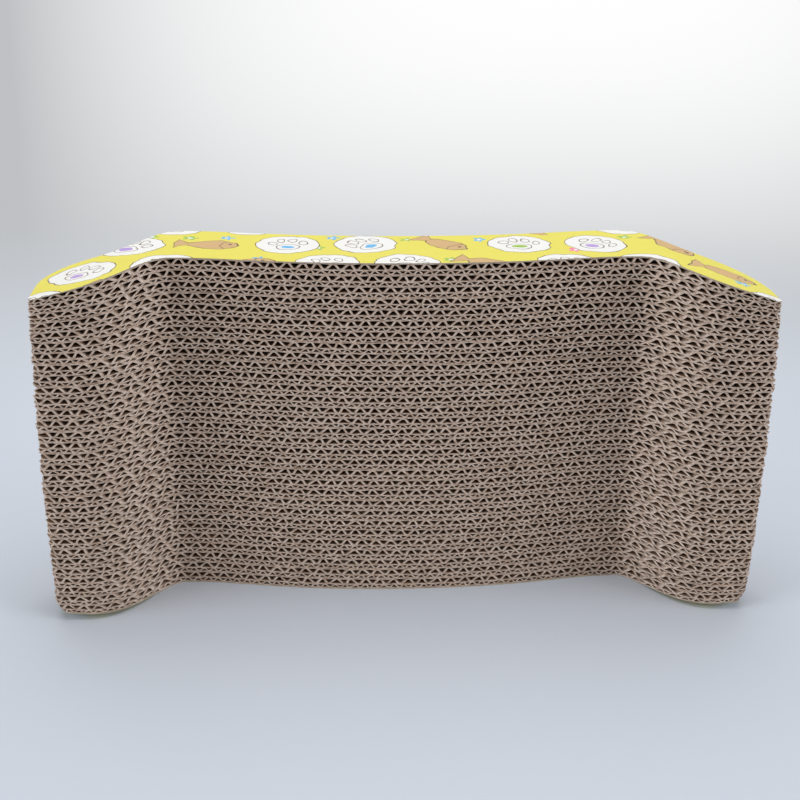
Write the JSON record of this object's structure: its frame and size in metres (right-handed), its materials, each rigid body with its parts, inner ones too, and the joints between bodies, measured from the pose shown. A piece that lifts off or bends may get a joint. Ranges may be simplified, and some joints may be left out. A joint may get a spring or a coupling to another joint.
{
  "type": "cat scratcher",
  "caption": "Wave-shaped corrugated cardboard cat scratcher: a glued stack of die-cut boards with a saddle between two raised wings and printed paper on both long sides.",
  "frame": {"origin": "on the floor below the middle of the object's box, with the object standing on a printed side as in the picture", "axes": "+X along the width, to the right as the scratch face is looked at; +Y from the scratch face to the rear; +Z up the stack of boards. In use the object is laid on its rear, with -Y up."},
  "size_m": [0.418, 0.101, 0.2119],
  "materials": {
    "kraft_board": "matte",
    "printed_paper": "satin"
  },
  "bodies": {
    "root": {"lower_cover_sheet": "printed_paper", "board_01": "kraft_board", "board_02": "kraft_board", "board_03": "kraft_board", "board_04": "kraft_board", "board_05": "kraft_board", "board_06": "kraft_board", "board_07": "kraft_board", "board_08": "kraft_board", "board_09": "kraft_board", "board_10": "kraft_board", "board_11": "kraft_board", "board_12": "kraft_board", "board_13": "kraft_board", "board_14": "kraft_board", "board_15": "kraft_board", "board_16": "kraft_board", "board_17": "kraft_board", "board_18": "kraft_board", "board_19": "kraft_board", "board_20": "kraft_board", "board_21": "kraft_board", "board_22": "kraft_board", "board_23": "kraft_board", "board_24": "kraft_board", "board_25": "kraft_board", "board_26": "kraft_board", "board_27": "kraft_board", "board_28": "kraft_board", "board_29": "kraft_board", "board_30": "kraft_board", "board_31": "kraft_board", "upper_cover_sheet": "printed_paper"}
  },
  "joints": []
}
